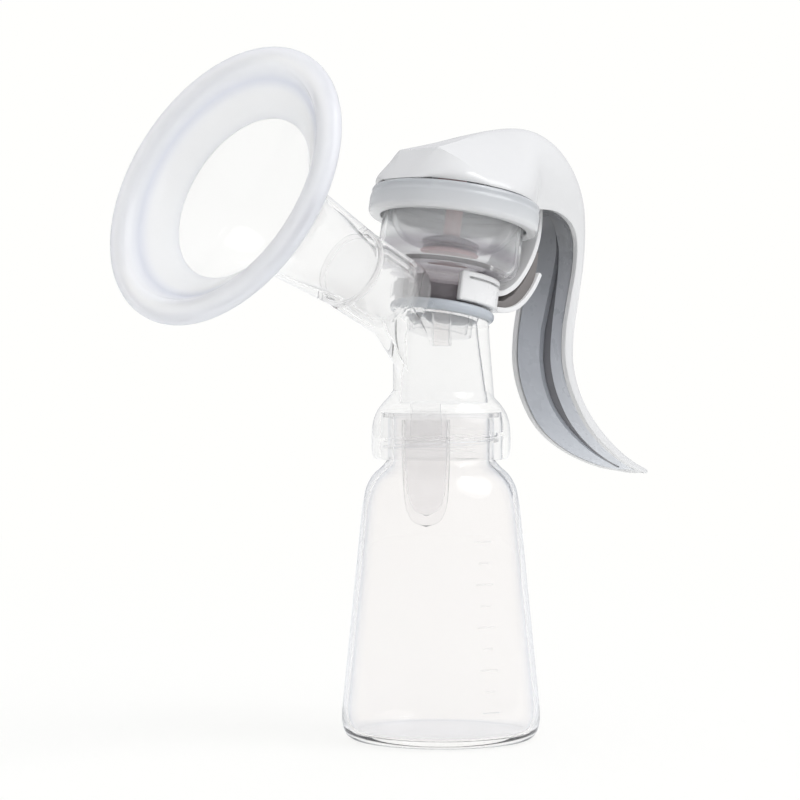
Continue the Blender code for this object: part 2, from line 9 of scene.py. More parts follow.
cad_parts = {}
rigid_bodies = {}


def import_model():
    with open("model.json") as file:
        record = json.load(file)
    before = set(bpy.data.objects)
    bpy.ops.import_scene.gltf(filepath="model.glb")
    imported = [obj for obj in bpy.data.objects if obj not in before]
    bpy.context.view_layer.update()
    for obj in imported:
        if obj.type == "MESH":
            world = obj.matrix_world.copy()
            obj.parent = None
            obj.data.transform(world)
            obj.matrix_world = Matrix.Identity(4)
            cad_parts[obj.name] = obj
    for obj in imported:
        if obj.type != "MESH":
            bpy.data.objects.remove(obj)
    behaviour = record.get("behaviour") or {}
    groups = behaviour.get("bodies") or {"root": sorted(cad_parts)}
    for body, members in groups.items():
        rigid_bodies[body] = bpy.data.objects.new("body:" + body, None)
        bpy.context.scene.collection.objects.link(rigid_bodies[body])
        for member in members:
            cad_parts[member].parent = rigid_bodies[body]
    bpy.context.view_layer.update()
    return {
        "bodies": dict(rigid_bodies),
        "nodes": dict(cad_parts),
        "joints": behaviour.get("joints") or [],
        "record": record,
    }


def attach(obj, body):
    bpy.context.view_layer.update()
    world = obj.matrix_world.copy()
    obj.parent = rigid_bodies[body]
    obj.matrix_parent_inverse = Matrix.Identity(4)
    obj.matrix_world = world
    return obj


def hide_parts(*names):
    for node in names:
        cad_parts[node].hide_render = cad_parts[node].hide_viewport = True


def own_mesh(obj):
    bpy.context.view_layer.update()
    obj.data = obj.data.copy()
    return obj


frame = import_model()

# ---------------------------------------------------------------- dimensions shared with the solids
SHIELD_FRAME = Matrix.Translation((0, 0, 0.1238)) @ Matrix.Rotation(
    math.radians(23.8) - math.pi / 2, 4, "Y")
CUP_FRAME = Matrix.Translation((0, 0, 0.1280)) @ Matrix.Rotation(math.radians(10.9), 4, "Y")
WORLD = Matrix.Identity(4)
UP = Vector((0, 0, 1))
CUP_AXIS = CUP_FRAME.to_3x3() @ UP
NECK_TOP = 0.0965
THREAD_PITCH = 0.0040
THREAD_START = 0.0865
COLLAR_BORE_R = 0.0182
CEILING_BOTTOM = 0.0983
CEILING_TOP = 0.1007
SPIGOT_X = -0.0065
HORN_MOUTH = 0.0410
HUB_R = 0.0125
HINGE = Vector((0.0380, 0, 0.1660))


# ---------------------------------------------------------------- shader helpers
def fill_ramp(ramp, stops):
    """Set a colour ramp's stops, given as (place, (red, green, blue)) pairs."""
    elements = ramp.color_ramp.elements
    while len(elements) < len(stops):
        elements.new(0.5)
    for element, (place, colour) in zip(elements, stops):
        element.position = place
        element.color = (*colour, 1)


class Shader:
    """A node material round one Principled BSDF, with short calls for its usual details."""

    def __init__(self, name, colour, roughness, **constants):
        self.material = bpy.data.materials.new(name)
        self.material.use_nodes = True
        self.tree = self.material.node_tree
        self.bsdf = self.tree.nodes["Principled BSDF"]
        self.colour = colour
        self.roughness = roughness
        self.bsdf.inputs["Base Color"].default_value = (*colour, 1)
        self.bsdf.inputs["Roughness"].default_value = roughness
        for key, value in constants.items():
            self.bsdf.inputs[key.replace("_", " ")].default_value = value

    def node(self, kind, **settings):
        """A new node; each setting is an input's constant or a property of the node."""
        node = self.tree.nodes.new(kind)
        for key, value in settings.items():
            if key in node.inputs:
                node.inputs[key].default_value = value
            else:
                setattr(node, key, value)
        return node

    def link(self, source, target):
        self.tree.links.new(source, target)

    def noise(self, scale, detail=2.0):
        """Noise fixed to the piece, so that it moves with it."""
        coords = self.node("ShaderNodeTexCoord")
        noise = self.node("ShaderNodeTexNoise", Scale=scale, Detail=detail)
        self.link(coords.outputs["Object"], noise.inputs["Vector"])
        return noise.outputs["Fac"]

    def ramp(self, source, stops):
        ramp = self.node("ShaderNodeValToRGB")
        fill_ramp(ramp, stops)
        self.link(source, ramp.inputs["Fac"])
        return ramp.outputs["Color"]

    def vary_colour(self, scale, amount):
        """Cloudy variation of the base colour."""
        darker = tuple(c * (1 - amount) for c in self.colour)
        colour = self.ramp(self.noise(scale, 4), [(0.35, darker), (0.65, self.colour)])
        self.link(colour, self.bsdf.inputs["Base Color"])
        return self

    def vary_roughness(self, scale, spread):
        """Cloudy variation of the roughness, by the spread either way."""
        span = self.node("ShaderNodeMapRange")
        span.inputs["From Min"].default_value = 0.3
        span.inputs["From Max"].default_value = 0.7
        span.inputs["To Min"].default_value = max(0.0, self.roughness - spread)
        span.inputs["To Max"].default_value = self.roughness + spread
        self.link(self.noise(scale), span.inputs["Value"])
        self.link(span.outputs["Result"], self.bsdf.inputs["Roughness"])
        return self

    def bump(self, scale, strength, distance, detail=2.0):
        """Fine unevenness of the moulded surface."""
        bump = self.node("ShaderNodeBump", Strength=strength, Distance=distance)
        self.link(self.noise(scale, detail), bump.inputs["Height"])
        self.link(bump.outputs["Normal"], self.bsdf.inputs["Normal"])
        return self

    def edge_tint(self, edge, blend=0.35, start=0.45):
        """A thin wall looks darker where it is seen edge-on."""
        facing = self.node("ShaderNodeLayerWeight", Blend=blend)
        colour = self.ramp(facing.outputs["Facing"], [(start, self.colour), (1.0, edge)])
        self.link(colour, self.bsdf.inputs["Base Color"])
        return self

    def tint_by(self, value, low, high, stops):
        """Base colour read off a ramp, as a value runs from low to high."""
        span = self.node("ShaderNodeMapRange")
        span.inputs["From Min"].default_value = low
        span.inputs["From Max"].default_value = high
        self.link(value, span.inputs["Value"])
        self.link(self.ramp(span.outputs["Result"], stops), self.bsdf.inputs["Base Color"])
        return self

    def along(self, axis, low, high, stops):
        """Base colour that changes along a line through the piece, between two distances."""
        coords = self.node("ShaderNodeTexCoord")
        dot = self.node("ShaderNodeVectorMath", operation="DOT_PRODUCT")
        dot.inputs[1].default_value = axis
        self.link(coords.outputs["Object"], dot.inputs[0])
        return self.tint_by(dot.outputs["Value"], low, high, stops)

    def around(self, frame, low, high, stops):
        """Base colour that changes with the distance from a frame's Z axis."""
        coords = self.node("ShaderNodeTexCoord")
        offset = self.node("ShaderNodeVectorMath", operation="SUBTRACT")
        offset.inputs[1].default_value = frame.translation
        cross = self.node("ShaderNodeVectorMath", operation="CROSS_PRODUCT")
        cross.inputs[1].default_value = frame.to_3x3() @ UP
        length = self.node("ShaderNodeVectorMath", operation="LENGTH")
        self.link(coords.outputs["Object"], offset.inputs[0])
        self.link(offset.outputs["Vector"], cross.inputs[0])
        self.link(cross.outputs["Vector"], length.inputs[0])
        return self.tint_by(length.outputs["Value"], low, high, stops)


def make_materials():
    start = CUP_AXIS.dot(CUP_FRAME.translation)
    hub_painted_shade = (0.56, 0.53, 0.55)
    bowl_tint = (0.970, 0.978, 0.985)
    shaders = {
        "clear": Shader("clear_plastic_look", (0.988, 0.988, 0.990), 0.06, IOR=1.04,
                        Transmission_Weight=0.94, Coat_Weight=0.6, Coat_Roughness=0.04)
        .edge_tint((0.78, 0.80, 0.86), blend=0.35, start=0.55)
        .vary_roughness(scale=60, spread=0.02)
        .bump(scale=45, strength=0.03, distance=0.0004),
        "bottle": Shader("bottle_plastic_look", (0.990, 0.980, 0.978), 0.05, IOR=1.10,
                         Transmission_Weight=0.96, Coat_Weight=0.5, Coat_Roughness=0.04)
        .edge_tint((0.42, 0.50, 0.66), blend=0.3, start=0.35)
        .vary_roughness(scale=40, spread=0.02)
        .bump(scale=30, strength=0.01, distance=0.0003),
        "bowl": Shader("frosted_bowl_look", bowl_tint, 0.07, IOR=1.05, Transmission_Weight=0.84,
                       Coat_Weight=0.4, Coat_Roughness=0.06)
        .vary_roughness(scale=80, spread=0.02)
        .bump(scale=70, strength=0.04, distance=0.0003)
        # Painted light along the cup's axis: painted shade over the hub and in a band low on the
        # bowl, and a painted highlight line at the bowl's lower rim.
        .along(CUP_AXIS, start - 0.0010, start + 0.0310,
               [(0.0, hub_painted_shade), (0.41, hub_painted_shade), (0.43, (0.74, 0.72, 0.75)),
                (0.46, (0.99, 0.99, 0.99)), (0.50, bowl_tint), (0.56, (0.70, 0.68, 0.71)),
                (0.64, (0.74, 0.73, 0.76)), (0.70, bowl_tint), (1.0, bowl_tint)]),
        "ring": Shader("frosted_ring_look", (0.83, 0.845, 0.865), 0.20, IOR=1.46,
                       Transmission_Weight=0.35, Coat_Weight=0.4, Coat_Roughness=0.08)
        .vary_roughness(scale=90, spread=0.05)
        .bump(scale=120, strength=0.06, distance=0.0002)
        # Painted light: lighter towards the ring's lower edge as a painted highlight, darker
        # towards its top under the dome as painted shade.
        .along(CUP_AXIS, start + 0.0276, start + 0.0360,
               [(0.0, (0.95, 0.95, 0.955)), (0.22, (0.84, 0.855, 0.87)),
                (0.60, (0.76, 0.78, 0.80)), (1.0, (0.66, 0.685, 0.715))]),
        "cushion": Shader("cushion_silicone_look", (0.955, 0.96, 0.98), 0.34, IOR=1.15,
                          Transmission_Weight=0.62, Coat_Weight=0.3, Coat_Roughness=0.2)
        .vary_roughness(scale=120, spread=0.06)
        .bump(scale=600, strength=0.08, distance=0.0002, detail=4)
        # Painted light by distance from the funnel's axis: painted shade at the opening's edge, in
        # the crease before the lip and at the lip's outer edge, and a painted highlight ring on the
        # lip's crown.
        .around(SHIELD_FRAME, 0.0245, 0.0430,
                [(0.0, (0.88, 0.89, 0.92)), (0.10, (0.97, 0.975, 0.985)),
                 (0.36, (0.99, 0.992, 0.996)), (0.50, (0.865, 0.885, 0.95)),
                 (0.60, (0.94, 0.95, 0.98)), (0.76, (1.0, 1.0, 1.0)), (0.90, (0.945, 0.95, 0.975)),
                 (1.0, (0.81, 0.825, 0.87))]),
        "silicone": Shader("valve_silicone_look", (0.96, 0.955, 0.96), 0.15, IOR=1.12,
                           Transmission_Weight=0.95, Coat_Weight=0.3, Coat_Roughness=0.1)
        .edge_tint((0.55, 0.57, 0.62))
        .vary_roughness(scale=120, spread=0.05)
        .bump(scale=500, strength=0.06, distance=0.0002, detail=4),
        "stem": Shader("stem_look", (0.80, 0.52, 0.52), 0.35, IOR=1.45)
        .vary_colour(scale=80, amount=0.06)
        .vary_roughness(scale=150, spread=0.05)
        .bump(scale=500, strength=0.05, distance=0.0002, detail=4),
        "seal": Shader("seal_silicone_look", (0.62, 0.66, 0.71), 0.24, IOR=1.42,
                       Transmission_Weight=0.25)
        .vary_colour(scale=120, amount=0.08)
        .vary_roughness(scale=150, spread=0.06)
        .bump(scale=500, strength=0.08, distance=0.0002, detail=4),
        "white": Shader("white_plastic_look", (0.69, 0.692, 0.692), 0.22, IOR=1.48,
                        Coat_Weight=0.25, Coat_Roughness=0.12)
        .vary_colour(scale=25, amount=0.015)
        .vary_roughness(scale=140, spread=0.05)
        .bump(scale=900, strength=0.05, distance=0.0001, detail=5),
        "bracket": Shader("bracket_plastic_look", (0.80, 0.80, 0.80), 0.30, IOR=1.48)
        .vary_colour(scale=60, amount=0.03)
        .vary_roughness(scale=140, spread=0.05)
        .bump(scale=900, strength=0.05, distance=0.0001, detail=5),
        "grip": Shader("grip_look", (0.50, 0.52, 0.56), 0.30, IOR=1.45, Coat_Weight=0.35,
                       Coat_Roughness=0.15)
        .vary_roughness(scale=200, spread=0.06)
        .bump(scale=1400, strength=0.03, distance=0.0001, detail=4)
        # Painted shade: the lining darkens towards the top, where it runs in under the dome.
        .along(UP, 0.085, 0.165,
               [(0.0, (0.58, 0.61, 0.66)), (0.45, (0.47, 0.49, 0.53)), (0.8, (0.33, 0.34, 0.36)),
                (1.0, (0.16, 0.16, 0.165))]),
        # Painted shade: the dark strip laid in the lining's groove.
        "painted_groove_shade": Shader("painted_groove_shade_look", (0.17, 0.17, 0.185), 0.34, IOR=1.45)
        .vary_colour(scale=60, amount=0.10)
        .vary_roughness(scale=200, spread=0.06)
        .bump(scale=1400, strength=0.08, distance=0.0002, detail=6),
        # Painted shade: the dark plate that fills the recess between the bracket's ribs.
        "painted_recess_shade": Shader("bracket_painted_shade_look", (0.21, 0.195, 0.19), 0.42, IOR=1.45)
        .vary_colour(scale=60, amount=0.12)
        .vary_roughness(scale=200, spread=0.06)
        .bump(scale=1200, strength=0.10, distance=0.0002, detail=6),
        "yoke": Shader("yoke_look", (0.22, 0.22, 0.23), 0.42, IOR=1.47)
        .vary_colour(scale=60, amount=0.10)
        .vary_roughness(scale=200, spread=0.08)
        .bump(scale=1000, strength=0.12, distance=0.0002, detail=5),
    }
    return {key: shader.material for key, shader in shaders.items()}


# ---------------------------------------------------------------- mesh helpers
CORNER_SHARE = 0.45
ON_AXIS = 1e-7


def add_object(name, mesh):
    """Put a mesh in the scene as an object."""
    obj = bpy.data.objects.new(name, mesh)
    bpy.context.scene.collection.objects.link(obj)
    return obj


def bake(obj):
    """Turn the object's modifiers into its mesh."""
    bpy.context.view_layer.update()
    evaluated = obj.evaluated_get(bpy.context.evaluated_depsgraph_get())
    mesh = bpy.data.meshes.new_from_object(evaluated)
    obj.modifiers.clear()
    obj.data = mesh
    return obj


def boolean(obj, tool, operation):
    """Combine the object with a tool, which is used up."""
    modifier = obj.modifiers.new(operation.lower(), "BOOLEAN")
    modifier.object = tool
    modifier.operation = operation
    modifier.solver = "MANIFOLD"
    bake(obj)
    bpy.data.objects.remove(tool, do_unlink=True)
    return obj


def join(obj, *tools):
    for tool in tools:
        boolean(obj, tool, "UNION")
    return obj


def cut(obj, *tools):
    for tool in tools:
        boolean(obj, tool, "DIFFERENCE")
    return obj


def mesh_object(name, bm):
    """An object of a finished bmesh, which is freed."""
    mesh = bpy.data.meshes.new(name)
    bm.to_mesh(mesh)
    bm.free()
    return add_object(name, mesh)


def rounded(points, radius, steps=4, closed=False):
    """Round each corner of a 2D line, by at most CORNER_SHARE of either side next to it."""
    count = len(points)
    result = []
    for i, point in enumerate(points):
        if not closed and i in (0, count - 1):
            result.append(point)
            continue
        here = Vector(point)
        before, after = Vector(points[i - 1]), Vector(points[(i + 1) % count])
        reach = min(radius, CORNER_SHARE * (before - here).length,
                    CORNER_SHARE * (after - here).length)
        start = here + (before - here).normalized() * reach
        end = here + (after - here).normalized() * reach
        for k in range(steps + 1):
            t = k / steps
            curve = start * (1 - t) ** 2 + here * 2 * t * (1 - t) + end * t * t
            result.append(tuple(curve))
    return result


def turned(name, profile, frame=WORLD, sides=96, closed=True):
    """A profile of (radius, height) turned about Z, with its ends on the axis if it is open."""
    bm = bmesh.new()
    rows = []
    for radius, height in profile:
        if radius < ON_AXIS:
            rows.append([bm.verts.new((0, 0, height))])
            continue
        rows.append([bm.verts.new((radius * math.cos(2 * math.pi * i / sides),
                                   radius * math.sin(2 * math.pi * i / sides), height))
                     for i in range(sides)])
    pairs = list(zip(rows, rows[1:]))
    if closed:
        pairs.append((rows[-1], rows[0]))
    for low, high in pairs:
        for i in range(sides):
            j = (i + 1) % sides
            corners = [low[i % len(low)], low[j % len(low)],
                       high[j % len(high)], high[i % len(high)]]
            bm.faces.new(list(dict.fromkeys(corners)))
    bmesh.ops.recalc_face_normals(bm, faces=bm.faces)
    obj = mesh_object(name, bm)
    obj.matrix_world = frame
    return obj


def rod(name, radius, bottom, top, frame=WORLD, sides=64):
    """A solid cylinder along a frame's Z axis."""
    profile = [(0, top), (radius, top), (radius, bottom), (0, bottom)]
    return turned(name, profile, frame, sides, closed=False)


def rod_between(name, radius, start, end, sides=48):
    """A solid cylinder from one point to another."""
    start, end = Vector(start), Vector(end)
    turn = (end - start).to_track_quat("Z", "Y").to_matrix().to_4x4()
    return rod(name, radius, 0, (end - start).length, Matrix.Translation(start) @ turn, sides)


def cross_rod(name, radius, half_length, centre, sides=48):
    """A solid cylinder along Y, centred on a point."""
    frame_y = Matrix.Translation(centre) @ Matrix.Rotation(math.pi / 2, 4, "X")
    return rod(name, radius, -half_length, half_length, frame_y, sides)


def plate(name, outline, low_y, high_y):
    """An outline in the XZ plane made solid from one Y to another."""
    bm = bmesh.new()
    face = bm.faces.new([bm.verts.new((x, low_y, z)) for x, z in outline])
    grown = bmesh.ops.extrude_face_region(bm, geom=[face])
    moved = [item for item in grown["geom"] if isinstance(item, bmesh.types.BMVert)]
    bmesh.ops.translate(bm, vec=(0, high_y - low_y, 0), verts=moved)
    bmesh.ops.recalc_face_normals(bm, faces=bm.faces)
    return mesh_object(name, bm)


def thicken(line, thickness):
    """The outline of a strip that has the line as its lower edge."""
    upper = []
    for i, (x, z) in enumerate(line):
        before = line[max(i - 1, 0)]
        after = line[min(i + 1, len(line) - 1)]
        dx, dz = after[0] - before[0], after[1] - before[1]
        length = math.hypot(dx, dz)
        upper.append((x - dz / length * thickness, z + dx / length * thickness))
    return list(line) + upper[::-1]


def loft(name, rings, closed_rings=False, caps=False):
    """Faces between rings of equally many points, and over the two ends if it has caps."""
    bm = bmesh.new()
    rows = [[bm.verts.new(point) for point in ring] for ring in rings]
    count = len(rows[0])
    for low, high in zip(rows, rows[1:]):
        for i in range(count if closed_rings else count - 1):
            j = (i + 1) % count
            bm.faces.new((low[i], low[j], high[j], high[i]))
    if caps:
        bm.faces.new(rows[0][::-1])
        bm.faces.new(rows[-1])
        bmesh.ops.recalc_face_normals(bm, faces=bm.faces)
    return mesh_object(name, bm)


def helix(name, root_r, crest_r, start_z, turns, sides=96):
    """A right-handed thread ridge whose ends run out into the wall."""
    half_foot, half_crest, run_out = 0.0007, 0.0003, 12
    steps = round(sides * turns)
    rings = []
    for i in range(steps + 1):
        angle = 2 * math.pi * turns * i / steps
        z = start_z + THREAD_PITCH * turns * i / steps
        fade = min(1.0, run_out * i / steps, run_out * (steps - i) / steps)
        crest = root_r + (crest_r - root_r) * (0.45 + 0.55 * fade)
        section = [(root_r, z + half_foot), (crest, z + half_crest), (crest, z - half_crest),
                   (root_r, z - half_foot)]
        rings.append([(r * math.cos(angle), r * math.sin(angle), h) for r, h in section])
    return loft(name, rings, closed_rings=True, caps=True)


def soften_edges(obj, width, segments, angle):
    """Round the edges sharper than an angle, by a modifier that stays live."""
    modifier = obj.modifiers.new("edges", "BEVEL")
    modifier.width = width
    modifier.segments = segments
    modifier.limit_method = "ANGLE"
    modifier.angle_limit = math.radians(angle)
    return obj


def bevel(obj, width, segments, angle):
    return bake(soften_edges(obj, width, segments, angle))


def finish(obj, look, body, nodes=(), angle=30):
    """Fix the piece in place, shade it, give it its look and tie it to its body."""
    obj.data.transform(obj.matrix_world)
    obj.matrix_world = WORLD
    obj.data.materials.clear()
    obj.data.materials.append(LOOKS[look])
    obj.data.shade_smooth()
    obj.data.set_sharp_from_angle(angle=math.radians(angle))
    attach(obj, body)
    if nodes:
        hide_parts(*nodes)
    return obj


# ---------------------------------------------------------------- bottle
FOOT_R, FOOT_Z = 0.0299, 0.0085
SHOULDER_R, SHOULDER_Z = 0.0238, 0.0700


def make_bottle():
    outside = [(0.0160, NECK_TOP), (0.0160, 0.0842), (0.0176, 0.0822), (0.0207, 0.0796),
               (0.0228, 0.0757), (SHOULDER_R, SHOULDER_Z), (FOOT_R, FOOT_Z), (FOOT_R, 0.0050),
               (0.0291, 0.0018), (0.0270, 0.0000), (0, 0)]
    inside = [(0, 0.0022), (0.0240, 0.0020), (0.0270, 0.0032), (0.0280, 0.0060),
              (0.0282, 0.0090), (0.0222, 0.0695), (0.0212, 0.0747), (0.0191, 0.0785),
              (0.0160, 0.0812), (0.0142, 0.0830), (0.0142, NECK_TOP)]
    profile = rounded(inside, 0.006, 5) + rounded(outside, 0.006, 5)
    bottle = turned("bottle_wall", profile, closed=False, sides=224)
    join(bottle, helix("bottle_thread", 0.0154, 0.0174, THREAD_START, 1.1))
    finish(bottle, "bottle", "bottle", ["bottle"])


def make_marks():
    """Moulded graduation marks on the bottle's front: a short bar for each step, some longer."""
    facing = math.radians(-107)
    lowest, spacing, marks = 0.0106, 0.00625, 9
    long_half, short_half = 0.0030, 0.0017
    half_height, ridge, sunk = 0.00028, 0.00028, 0.00008
    columns = 7
    bm = bmesh.new()
    for i in range(marks):
        z = lowest + spacing * i
        wall = FOOT_R + (SHOULDER_R - FOOT_R) * (z - FOOT_Z) / (SHOULDER_Z - FOOT_Z)
        half = long_half if i % 2 == 0 else short_half
        strip = []
        for k in range(columns):
            angle = facing + (k / (columns - 1) - 0.5) * 2 * half / wall
            for rise, lift in ((-half_height, 0.0), (0.0, ridge), (half_height, 0.0)):
                radius = wall + lift - sunk
                strip.append(bm.verts.new((radius * math.cos(angle), radius * math.sin(angle),
                                           z + rise)))
        for k in range(0, 3 * (columns - 1), 3):
            for row in (k, k + 1):
                bm.faces.new([strip[row + step] for step in (0, 3, 4, 1)])
            bm.faces.new([strip[k + step] for step in (2, 5, 3, 0)])
        bm.faces.new(strip[:3])
        bm.faces.new(strip[:-4:-1])
    bmesh.ops.recalc_face_normals(bm, faces=bm.faces)
    finish(mesh_object("bottle_marks", bm), "silicone", "bottle")


# ---------------------------------------------------------------- pump body and valve
FLARE_TOP = 0.1220
FLARE_SHARE = 0.25


def flare_back(obj):
    """Widen the trunk towards the handle, more and more below the top of the flare."""
    for vertex in obj.data.vertices:
        drop = max(0.0, FLARE_TOP - vertex.co.z) / (FLARE_TOP - CEILING_TOP)
        if vertex.co.x > 0:
            vertex.co.x *= 1 + FLARE_SHARE * drop
    return obj


def tube_solid(name, low_r, high_r, bottom, top, steps=12):
    """A solid that tapers from one radius to another and flares at the back, like the trunk."""
    heights = [bottom + (top - bottom) * i / steps for i in range(steps + 1)]
    profile = [(0, top)]
    for height in heights[::-1]:
        share = (height - bottom) / (top - bottom)
        profile.append((low_r + (high_r - low_r) * share, height))
    profile.append((0, bottom))
    return flare_back(turned(name, profile, closed=False))


def make_pump_body():
    """Trunk, horn and elbow blended into one skin, with the collar and the passages added."""
    body = tube_solid("pump_wall", 0.0145, 0.0145, CEILING_BOTTOM, 0.1320)
    corner, horn_r, horn_back = 0.0048, 0.0123, 0.0168
    arc = [(horn_r - corner + corner * math.cos(a), horn_back + corner - corner * math.sin(a))
           for a in (math.pi / 2 * i / 8 for i in range(9))]
    horn = turned("horn", [(0, HORN_MOUTH), (horn_r, HORN_MOUTH), *arc, (0, horn_back)],
                  SHIELD_FRAME, closed=False)
    elbow = rod_between("elbow", 0.0078, (-0.0215, 0, 0.1290), (-0.0070, 0, 0.1125))
    join(body, horn, elbow)
    remesh = body.modifiers.new("skin", "REMESH")
    remesh.mode = "VOXEL"
    remesh.voxel_size = 0.00055
    smooth = body.modifiers.new("fillet", "SMOOTH")
    smooth.factor = 0.5
    smooth.iterations = 14
    bake(body)
    bell_line = [(0, 0.1056), (0.0143, 0.1054), (0.0158, 0.1031), (0.0178, 0.1010),
                 (0.0196, 0.0985), (0.0207, 0.0952), (0.0210, 0.0915), (0.0210, 0.0868),
                 (0.0204, 0.0843), (0, 0.0843)]
    bore = [(0, CEILING_BOTTOM), (0.0178, CEILING_BOTTOM), (COLLAR_BORE_R, 0.0950),
            (COLLAR_BORE_R, 0.0793), (0, 0.0793)]
    join(body, turned("bell", rounded(bell_line, 0.002, 4), closed=False))
    cut(body,
        rod("seat_clearance", 0.0166, -0.0012, 0.0140, CUP_FRAME, 96),
        turned("collar_bore", bore, closed=False),
        tube_solid("trunk_bore", 0.0122, 0.0104, CEILING_TOP, 0.1290),
        rod("cup_socket", 0.0102, -0.0100, 0.0050, CUP_FRAME),
        rod("horn_socket", 0.0107, 0.0246, 0.0500, SHIELD_FRAME),
        rod("horn_chamber", 0.0075, 0.0202, 0.0300, SHIELD_FRAME),
        rod_between("passage", 0.0050, (-0.0215, 0, 0.1315), (-0.0070, 0, 0.1120)))
    spigot = rod("spigot", 0.0060, 0.0880, CEILING_BOTTOM + 0.0010)
    outlet = rod("outlet", 0.0045, 0.0870, CEILING_TOP + 0.0010)
    for piece in (spigot, outlet):
        piece.matrix_world = Matrix.Translation((SPIGOT_X, 0, 0))
    join(body, spigot)
    cut(body, outlet)
    join(body, helix("collar_thread", COLLAR_BORE_R + 0.0006, COLLAR_BORE_R - 0.0015,
                     THREAD_START + THREAD_PITCH / 2, 1.1))
    finish(body, "clear", "head", ["pump_body"])


def make_valve():
    """A sleeve that flattens below into the duckbill's two lips, turned about the spigot."""
    top, sleeve_end, flat_from, tip = 0.0960, 0.0840, 0.0700, 0.0640
    flattening = 0.72
    outside = [(0.0072, top), (0.0072, sleeve_end), (0.0069, 0.0780), (0.0066, 0.0725),
               (0.0058, 0.0682), (0.0040, 0.0652), (0, tip)]
    inside = [(0, 0.0672), (0.0040, 0.0690), (0.0054, 0.0730), (0.0059, 0.0780),
              (0.0063, sleeve_end), (0.0063, top)]
    profile = rounded(inside, 0.002) + rounded(outside, 0.002)
    valve = turned("valve_skin", profile, sides=64, closed=False)
    for vertex in valve.data.vertices:
        flat = min(1.0, max(0.0, sleeve_end - vertex.co.z) / (sleeve_end - flat_from))
        vertex.co.x *= 1 - flattening * flat
    valve.matrix_world = Matrix.Translation((SPIGOT_X, 0, 0)) @ Matrix.Rotation(
        math.radians(40), 4, "Z")
    finish(valve, "silicone", "valve", ["duckbill_valve"])


# ---------------------------------------------------------------- shield and cushion
def make_shield():
    """The funnel's wall, and the seal round its tube."""
    outside = [(0.0400, 0.0974), (0.0400, 0.0958), (0.0386, 0.0945), (0.0332, 0.0906),
               (0.0276, 0.0860), (0.0225, 0.0811), (0.0184, 0.0761), (0.0157, 0.0716),
               (0.0142, 0.0674), (0.0133, 0.0560), (0.0123, 0.0428), (0.0102, 0.0428),
               (0.0102, 0.0252)]
    inside = [(0.0086, 0.0252), (0.0090, 0.0430), (0.0116, 0.0565), (0.0126, 0.0676),
              (0.0142, 0.0728), (0.0170, 0.0777), (0.0212, 0.0829), (0.0264, 0.0879),
              (0.0324, 0.0926), (0.0384, 0.0962), (0.0386, 0.0974)]
    soft = rounded(outside[2:10], 0.004, 4)
    profile = outside[:2] + soft + outside[10:] + inside[:2] + rounded(inside[2:], 0.004, 4)
    shield = turned("shield_wall", profile, SHIELD_FRAME, 128)
    finish(shield, "clear", "shield", ["breast_shield"])
    ring = [(0.0122, 0.0425), (0.0122, 0.0413), (0.0105, 0.0413), (0.0105, 0.0425)]
    seal = turned("shield_gasket", rounded(ring, 0.0003, 2, True), SHIELD_FRAME)
    finish(seal, "silicone", "shield", ["shield_seal"])


def make_cushion():
    """The soft lining of the funnel, whose lip rolls over the funnel's rim."""
    lip = [(0.0364, 0.0990), (0.0376, 0.0998), (0.0394, 0.0999), (0.0411, 0.0994),
           (0.0423, 0.0985), (0.0429, 0.0972), (0.0428, 0.0956), (0.0418, 0.0946),
           (0.0405, 0.0946)]
    back = [(0.0405, 0.0979), (0.0384, 0.0979), (0.0322, 0.0932), (0.0266, 0.0887),
            (0.0254, 0.0877)]
    front = [(0.0247, 0.0884), (0.0272, 0.0908), (0.0300, 0.0934), (0.0326, 0.0951),
             (0.0343, 0.0956), (0.0353, 0.0968)]
    profile = rounded(lip + back + front, 0.0016, 5, True)
    cushion = turned("cushion_skin", profile, SHIELD_FRAME, 128)
    finish(cushion, "cushion", "cushion", ["massage_cushion"], 50)


# ---------------------------------------------------------------- cup, diaphragm and rim
def make_cup():
    """The bowl with its spigot, the short tube below it, the rim's ring and the foot's gasket."""
    outside = [(0.0241, 0.0320), (0.0241, 0.0299), (0.0215, 0.0290), (0.0215, 0.0158),
               (0.0195, 0.0130), (HUB_R, 0.0126), (HUB_R, 0.0026)]
    inside = [(0.0083, 0.0026), (0.0083, 0.0148), (0.0180, 0.0149), (0.0198, 0.0170),
              (0.0198, 0.0320)]
    profile = rounded(outside + inside, 0.0016, 5, True)
    cup = turned("bowl_wall", profile, CUP_FRAME, 128)
    finish(cup, "bowl", "head", ["cylinder_cup"])
    neck = [(0.0099, 0.0025), (0.0099, -0.0060), (0.0083, -0.0060), (0.0083, 0.0025)]
    spigot = turned("bowl_spigot", rounded(neck, 0.0004, 3, True), CUP_FRAME, 96)
    finish(spigot, "clear", "head")
    port = [(0.0031, 0.1284), (0.0031, 0.1184), (0.0024, 0.1184), (0.0024, 0.1284)]
    suction_port = turned("suction_port", rounded(port, 0.0003, 2, True), sides=64)
    finish(suction_port, "bottle", "head")
    ring = [(0.0252, 0.0360), (0.0257, 0.0352), (0.0257, 0.0338), (0.0260, 0.0330),
            (0.0260, 0.0288), (0.0253, 0.0276), (0.0222, 0.0276), (0.0222, 0.0286),
            (0.0245, 0.0295), (0.0245, 0.0346), (0.0205, 0.0346), (0.0205, 0.0360)]
    rim = turned("rim_skin", rounded(ring, 0.0007, 4, True), CUP_FRAME, 128)
    finish(rim, "ring", "head", ["rim_ring"])
    pad = [(0.0150, 0.0023), (0.0160, 0.0015), (0.0160, 0.0000), (0.0152, -0.0009),
           (0.0103, -0.0009), (0.0103, 0.0023)]
    gasket = turned("seat_pad", rounded(pad, 0.0008, 4, True), CUP_FRAME, 96)
    finish(gasket, "seal", "head", ["seat_gasket"])


